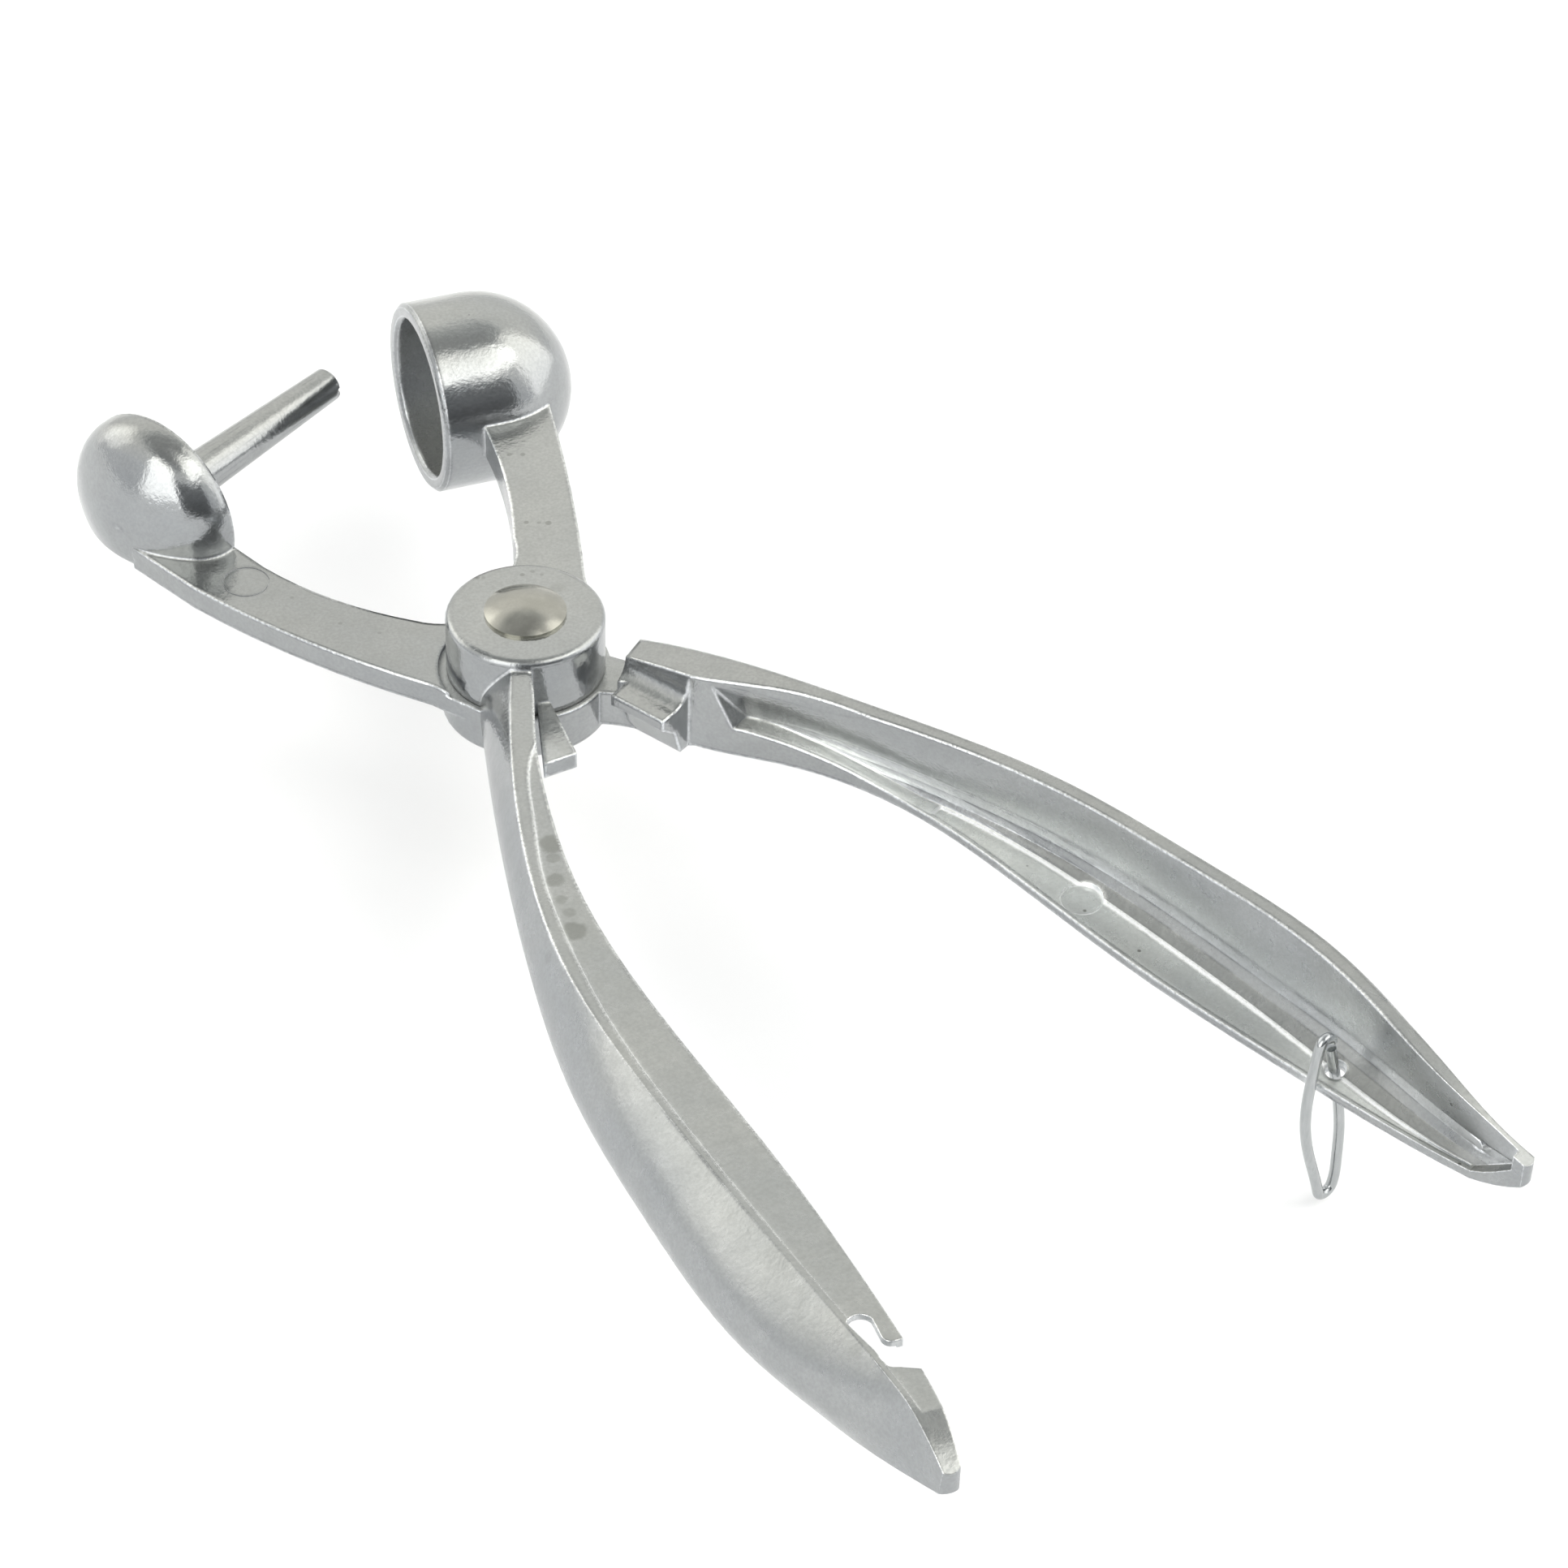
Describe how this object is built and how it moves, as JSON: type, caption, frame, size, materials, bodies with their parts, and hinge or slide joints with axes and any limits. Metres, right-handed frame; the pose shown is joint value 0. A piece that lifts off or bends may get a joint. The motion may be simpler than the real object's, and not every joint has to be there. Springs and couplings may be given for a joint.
{
  "type": "olive pitter",
  "caption": "Hand plier pitter for olives and cherries: two cast levers on a rivet, a cup and a punch at one end, curved handles with a wire lock ring at the other.",
  "frame": {"origin": "on the pivot axis, at the underside of the hub", "axes": "+Z along the pivot axis, up through the rivet head; +Y from the pivot to the fruit cup, opposite to the cup lever's handle; +X completes the frame and points away from the punch"},
  "size_m": [0.1121, 0.1905, 0.037],
  "materials": {
    "casting": "satin",
    "nickel": "polished",
    "wire": "satin"
  },
  "bodies": {
    "cup_lever": {"cup_arm": "casting", "pivot_rivet": "nickel", "rivet_washer": "nickel", "torsion_spring": "wire"},
    "plunger_lever": {"plunger_arm": "casting"},
    "ring": {"lock_ring": "wire"}
  },
  "joints": [
    {"name": "arm_pivot", "type": "hinge", "parent": "cup_lever", "child": "plunger_lever", "pos_m": [0, 0, 0], "axis": [0, 0, -1], "range_deg": [0, 32], "stiffness_Nm_per_rad": 0.2, "springref_deg": -20.05, "deforming": ["torsion_spring"]},
    {"name": "ring_swing", "type": "hinge", "parent": "plunger_lever", "child": "ring", "pos_m": [0.06046, -0.08639, 0.0016], "axis": [-0.3746, 0.9272, 0], "range_deg": [-15, 25]}
  ]
}
